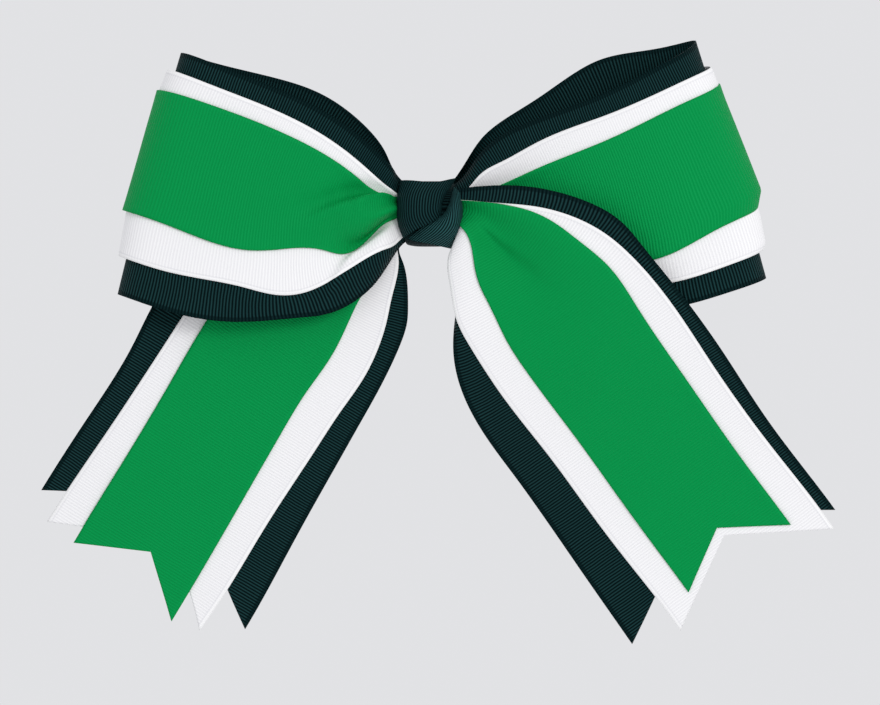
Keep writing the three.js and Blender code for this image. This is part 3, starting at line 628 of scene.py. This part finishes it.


# Each look's groove and crest colours are the ribbon's own colour with painted shade in the grooves and a painted
# highlight on the rib tops.
baseLook = {
    "groovePaintedShade": (0.0, 0.0003, 0.0005), "crestPaintedHighlight": (0.013, 0.054, 0.056), "shadow": (0.0004, 0.003, 0.0036),
    "edge": (0.0006, 0.0055, 0.0062), "edgeShare": 0.8, "line": (0.0003, 0.003, 0.0036), "lineShare": 0.5,
    "cloud": 0.2, "roughGroove": 0.85, "roughCrest": 0.34,
    "ribHeight": 0.0003, "specular": 0.09, "shine": (0.35, 0.95, 1),
}
middleLook = {
    "groovePaintedShade": (0.83, 0.825, 0.843), "crestPaintedHighlight": (0.97, 0.968, 0.97), "shadow": (0.88, 0.875, 0.89),
    "edge": (0.95, 0.948, 0.95), "edgeShare": 0.8, "line": (0.6, 0.6, 0.64), "lineShare": 0.3,
    "cloud": 0.3, "roughGroove": 0.85, "roughCrest": 0.65,
    "ribHeight": 0.00004, "specular": 0.15, "shine": (1, 1, 1),
}
topLook = {
    "groovePaintedShade": (0.0, 0.272, 0.056), "crestPaintedHighlight": (0.0, 0.292, 0.062), "shadow": (0.0, 0.262, 0.055),
    "edge": (0.0, 0.28, 0.058), "edgeShare": 0.3, "line": (0.0, 0.24, 0.05), "lineShare": 0.0,
    "cloud": 0.25, "roughGroove": 0.8, "roughCrest": 0.45,
    "ribHeight": 0.00015, "specular": 0.36, "shine": (0.14, 1, 0.55),
}
foldPaintedHighlightLook = {**baseLook, "crestPaintedHighlight": (0.034, 0.13, 0.132), "groovePaintedShade": (0.0, 0.0002, 0.0003)}      # painted highlight: a brighter copy of the dark cloth for the fold that faces the light
ringPaintedShadeLook = {**baseLook, "crestPaintedHighlight": (0.006, 0.026, 0.027)}      # painted shade: a darker copy of the dark cloth for the ring, which lies in the folds' shade
clothMaterials = {
    "ring": ribbonMaterial("ringGrosgrainPaintedShade", ringPaintedShadeLook),
    "fold": ribbonMaterial("foldGrosgrainPaintedHighlight", foldPaintedHighlightLook),
    "base": ribbonMaterial("darkGrosgrain", baseLook),
    "middle": ribbonMaterial("whiteGrosgrain", middleLook),
    "top": ribbonMaterial("greenGrosgrain", topLook),
}

# The twelve ribbon pieces. A cut gives the stations where the upper tip, the notch and the lower tip fall,
# and how far across the ribbon the notch is.
rank = {"base": 0, "middle": 1, "top": 2}
lifts = {"base": 0.0, "middle": 0.22, "top": 0.22}
cuts = {
    "leftTail": {
        "base": (9, 8.13, 9.42, 0.57), "middle": (9.49, 8.7, 9.89, 0.57), "top": (9.59, 8.99, 10.02, 0.57),
    },
    "rightTail": {"base": (9, 8.3, 9, 0.5), "middle": (9.33, 8.62, 9.33, 0.5), "top": (8.88, 8.52, 8.88, 0.5)},
}
runs = {
    "leftLoop": (leftLoop, "left_loop", None), "rightLoop": (rightLoop, "right_loop", None),
    "leftTail": (leftTail, "left_tail", "left_tail"), "rightTail": (rightTail, "right_tail", "right_tail"),
}


def layerOf(runName, run, kind):
    edges = run["edges"]
    span = {"base": (0, 1), "middle": (edges[1], edges[4]), "top": (edges[2], edges[3])}[kind]
    layer = {"kind": kind, "from": span[0], "to": span[1], "rank": rank[kind], "edgeLift": lifts[kind]}
    if runName in cuts:
        layer["cut"] = cuts[runName][kind]
    return layer


def makeRibbons():
    for count, (runName, (run, nodeEnd, body)) in enumerate(runs.items()):
        grid = ribGrid(run)
        for kind in ("base", "middle", "top"):
            layer = layerOf(runName, run, kind)
            piece = ribbonPiece(f"{kind}Ribbon_{runName}", run, layer, grid, seed=count + 0.7 * rank[kind])
            piece.data.materials.append(clothMaterials[kind])
            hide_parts(f"{kind}_ribbon_{nodeEnd}")
            if body is None:
                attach(piece, "bow")
            else:
                bendTail(piece)


def bendTail(piece):
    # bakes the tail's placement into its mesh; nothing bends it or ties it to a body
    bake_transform(piece)


makeRibbons()

# The knot is a ring with two folds laid on it. The folds' rows run down the knot and their columns across it;
# every point is x y z in mm.
knot = {
    "foldThickness": 0.5,
    "ringHalfHeight": 9.5, "ringHalfWidth": 8.4, "ringHalfDepth": 9.2, "ringMiddle": -15.2,
    "ringSquare": 0.62, "ringBelly": 0.55, "ringWall": (0.1, -0.35), "ringCells": (96, 24),
    "ringBackShare": 0.82,      # the ring's width at its back, of its width in front
    "ringLength": 72.0, "ringPlace": 8,      # mm of cloth round the ring, and of shading either side of its middle
    "farFromEdge": 20,          # mm; keeps the selvedge off the knot
    "upper": [
        [[-7, -15, 9.4], [-9.1, -22, 10.1], [-6.4, -26.2, 10.1], [-3.1, -27.2, 9.8],
         [0.3, -27.4, 9.6], [3.4, -27.1, 9.8], [6, -26.2, 10.4], [8.1, -24.2, 10.8]],
        [[-8.3, -15, 5.5], [-10.1, -22.6, 6.2], [-7.5, -27.2, 6], [-4.4, -28.6, 6.2],
         [-1.3, -29.1, 6.4], [1.9, -29, 6.7], [4.6, -28, 7.3], [6.4, -25.4, 7.9]],
        [[-8.5, -15, 1.2], [-10.3, -22.8, 2], [-7.8, -27.6, 2.2], [-4.9, -29.2, 2.6],
         [-2, -29.8, 3], [1, -29.6, 3.4], [3.3, -28.4, 3.9], [4.3, -25.6, 4.4]],
        [[-8, -15, -3], [-10, -22.4, -3], [-7.8, -27.2, -2.5], [-5.2, -29, -1.6],
         [-2.4, -29.6, -0.8], [0.4, -29.5, 0], [2.7, -28.4, 0.8], [3.7, -25.8, 1.4]],
        [[-6, -15, -8], [-8.3, -21.4, -7.9], [-7.1, -25.8, -7], [-4.9, -27.6, -5.6],
         [-2.2, -28.2, -4.3], [0.6, -28.2, -3.1], [2.5, -27.4, -2.2], [3.5, -25.6, -1.4]],
    ],
    "lower": [
        [[7.3, -23.6, 8.2], [8.5, -25.6, 7.1], [9.2, -25.9, 6.4], [9.8, -24.8, 5.2],
         [9.9, -21.8, 3.8], [8.4, -15, 3.6]],
        [[6, -25.2, 3.5], [7.2, -28.2, 2.9], [8.4, -28.8, 2], [9.6, -27.2, 1], [10.2, -22.3, 0.1], [8.6, -15, 0]],
        [[3.6, -26.4, -0.8], [5.2, -29.6, -1.6], [7, -30.4, -2.4], [8.8, -28.6, -3.3],
         [10.1, -22.6, -3.4], [8.6, -15, -3.4]],
        [[-1.4, -26.8, -3.7], [1.1, -29.4, -5.4], [4, -30, -6.4], [6.8, -28.4, -7.1],
         [8.9, -22.8, -7.7], [8, -15, -7.4]],
        [[-7.4, -22, -7.8], [-3.8, -25.2, -8.9], [0.2, -26.4, -9.7], [3.9, -25.8, -10.5],
         [7.5, -21.8, -11.1], [6.8, -15, -10.2]],
    ],
}


def splinePatch(name, control, ribsFrom, down=44, acrossCount=60):
    # a control grid made smooth by a spline down each column and then across each row; the shell's back is
    # front minus thickness times the unit normal, and ribs are counted in mm across from one side
    control = np.array(control, float)
    rows, columns = control.shape[:2]
    tall = naturalSpline(np.arange(rows), control.reshape(rows, -1), np.linspace(0, rows - 1, down))
    tall = tall.reshape(down, columns, 3).transpose(1, 0, 2).reshape(columns, -1)
    wide = naturalSpline(np.arange(columns), tall, np.linspace(0, columns - 1, acrossCount))
    front = wide.reshape(acrossCount, down, 3).transpose(1, 0, 2)
    normal = np.cross(np.gradient(front, axis=1), np.gradient(front, axis=0))
    normal /= np.linalg.norm(normal, axis=2)[..., None]
    if normal[down // 2, acrossCount // 2, 1] > 0:
        normal = -normal
    step = np.linalg.norm(np.diff(front, axis=1), axis=2)
    across = np.concatenate([np.zeros((down, 1)), np.cumsum(step, axis=1)], 1)
    if ribsFrom == "right":
        across = across[:, -1:] - across
    stepDown = np.linalg.norm(np.diff(front, axis=0), axis=2)
    below = np.concatenate([np.zeros((1, acrossCount)), np.cumsum(stepDown, axis=0)], 0)
    maps = {
        "weaveUv": np.stack([across, np.full_like(below, knot["farFromEdge"])], -1) * uvScale,
        "placeUv": np.stack([across, below], -1) * uvScale,
    }
    return closedShell(name, front, front - normal * knot["foldThickness"], maps)


def knotRing(name):
    # a squared ring round the left-right axis: y = middle + halfDepth*cos^square, z = halfHeight*sin^square,
    # each with its sign kept, and the wall bulging out at mid width by belly*(1 - w^4)
    cellsRound, cellsWide = knot["ringCells"]
    turn = np.linspace(0, 2 * math.pi, cellsRound + 1)[:-1]
    side = np.linspace(-1, 1, cellsWide + 1)
    a, w = np.meshgrid(turn, side, indexing="ij")
    square = knot["ringSquare"]
    ey = np.sign(np.cos(a)) * np.abs(np.cos(a)) ** square
    ez = np.sign(np.sin(a)) * np.abs(np.sin(a)) ** square
    belly = knot["ringBelly"] * (1 - w ** 4)
    back = knot["ringBackShare"]
    x = w * knot["ringHalfWidth"] * (back + (1 - back) * np.clip(-np.cos(a), 0, 1))

    def skin(extra):
        depth, height = knot["ringHalfDepth"] + extra, knot["ringHalfHeight"] + extra
        return np.stack([x, knot["ringMiddle"] + ey * depth, ez * height], -1)

    outer, inner = (skin(belly + wall) for wall in knot["ringWall"])
    n, m = outer.shape[:2]
    points = np.concatenate([outer.reshape(-1, 3), inner.reshape(-1, 3)])
    i, j = np.meshgrid(np.arange(n), np.arange(m - 1), indexing="ij")
    p, q = (i * m + j).ravel(), (((i + 1) % n) * m + j).ravel()
    half = n * m
    outerQuads = np.stack([p, q, q + 1, p + 1], 1)
    innerQuads = np.stack([p, p + 1, q + 1, q], 1) + half
    a0 = np.arange(n) * m
    b0 = np.roll(a0, -1)
    rim = np.concatenate([np.stack([a0, a0 + half, b0 + half, b0], 1),
                          np.stack([a0 + m - 1, b0 + m - 1, b0 + half + m - 1, a0 + half + m - 1], 1)])
    arc = a / (2 * math.pi) * knot["ringLength"]
    pairs = {
        "weaveUv": np.stack([arc, np.full_like(arc, knot["farFromEdge"])], -1) * uvScale,
        "placeUv": np.stack([arc, w * knot["ringPlace"]], -1) * uvScale,
    }
    maps = {label: np.concatenate([pair.reshape(-1, 2)] * 2) for label, pair in pairs.items()}
    return meshObject(name, points + anchor, np.concatenate([outerQuads, innerQuads]), maps, rim)


def makeKnot():
    ring = knotRing("knotRing")
    upper = splinePatch("knotUpperFold", knot["upper"], "left")
    lower = splinePatch("knotLowerFold", knot["lower"], "right")
    # the lower fold takes the painted-highlight copy of the dark cloth, the ring the painted-shade copy
    for piece, cloth in ((ring, "ring"), (upper, "base"), (lower, "fold")):
        piece.data.materials.append(clothMaterials[cloth])
        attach(piece, "bow")
    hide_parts("knot_ribbon")
    print("knot made")


makeKnot()


# Hard parts keep their solids and get their finishes. Wear moves the roughness and a shallow bump.
hardFinishes = {
    "brightNickel": {
        "parts": ["barrette_base_plate", "latch_plate", "latch_rivet", "latch_prong_upper", "latch_prong_lower",
                  "hinge_pin", "clasp_arm", "tension_bar"],
        "dark": (0.60, 0.60, 0.61), "light": (0.78, 0.77, 0.75), "tintBy": "Specks", "wornBy": "Streaks",
        "grain": 220.0, "rough": (0.12, 0.42), "bumpStrength": 0.25, "bumpDepth": 0.00004,
        "metallic": 1.0, "milky": 0.0,
    },
    "tieNylon": {
        "parts": ["gather_tie"],
        "dark": (0.74, 0.74, 0.72), "light": (0.86, 0.86, 0.84), "tintBy": "Streaks", "wornBy": "Specks",
        "grain": 260.0, "rough": (0.3, 0.5), "bumpStrength": 0.3, "bumpDepth": 0.00005,
        "metallic": 0.0, "milky": 0.15,
    },
    "hotGlue": {
        "parts": ["glue_pad"],
        "dark": (0.72, 0.67, 0.53), "light": (0.84, 0.80, 0.68), "tintBy": "Streaks", "wornBy": "Specks",
        "grain": 120.0, "rough": (0.2, 0.45), "bumpStrength": 0.3, "bumpDepth": 0.00005,
        "metallic": 0.0, "milky": 0.15,
    },
}


def hardMaterial(name, look):
    material, tree, shader = newMaterial(name)
    place = addNode(tree, "ShaderNodeTexCoord")
    worn = addNode(tree, "ShaderNodeGroup", node_tree=marks)
    tree.links.new(place.outputs["Object"], worn.inputs["Place"])
    worn.inputs["Scale"].default_value = look["grain"]
    tint = mixColour(tree, worn.outputs[look["tintBy"]], look["dark"], look["light"])
    tree.links.new(tint, shader.inputs["Base Color"])
    rough = addNode(tree, "ShaderNodeMapRange", {
        "Value": worn.outputs[look["wornBy"]], "To Min": look["rough"][0], "To Max": look["rough"][1]})
    tree.links.new(rough.outputs[0], shader.inputs["Roughness"])
    bump = addNode(tree, "ShaderNodeBump", {
        "Height": worn.outputs[look["wornBy"]], "Strength": look["bumpStrength"], "Distance": look["bumpDepth"]})
    tree.links.new(bump.outputs[0], shader.inputs["Normal"])
    shader.inputs["Metallic"].default_value = look["metallic"]
    shader.inputs["Subsurface Weight"].default_value = look["milky"]
    shader.inputs["Subsurface Scale"].default_value = 0.001
    return material


for finish, look in hardFinishes.items():
    material = hardMaterial(finish, look)
    for node in look["parts"]:
        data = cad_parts[node].data
        data.materials.clear()
        data.materials.append(material)
print("hard parts finished")

floor = {
    "height": -0.62, "near": -4.0, "far": 4.5, "side": 4.0,      # metres
    "paper": (0.9, 0.9, 0.905), "grainShade": 0.985, "grainScale": 40.0, "roughness": 0.9,
}


def makeFloor():
    # a flat grid of 3 x 3 points
    x, y = np.meshgrid(np.linspace(-floor["side"], floor["side"], 3), np.linspace(floor["near"], floor["far"], 3))
    points = np.stack([x, y, np.full_like(x, floor["height"])], -1).reshape(-1, 3)
    corner = np.array([0, 1, 3, 4])
    quads = np.stack([corner, corner + 1, corner + 4, corner + 3], 1)
    piece = meshObject("paleFloor", points / mm, quads, {}, np.zeros((0, 4), int))
    material, tree, shader = newMaterial("palePaper")
    place = addNode(tree, "ShaderNodeTexCoord")
    grain = addNode(tree, "ShaderNodeTexNoise", {
        "Vector": place.outputs["Object"], "Scale": floor["grainScale"], "Detail": 3.0})
    shaded = tuple(c * floor["grainShade"] for c in floor["paper"])
    tree.links.new(mixColour(tree, grain.outputs[0], shaded, floor["paper"]), shader.inputs["Base Color"])
    shader.inputs["Roughness"].default_value = floor["roughness"]
    piece.data.materials.append(material)


makeFloor()
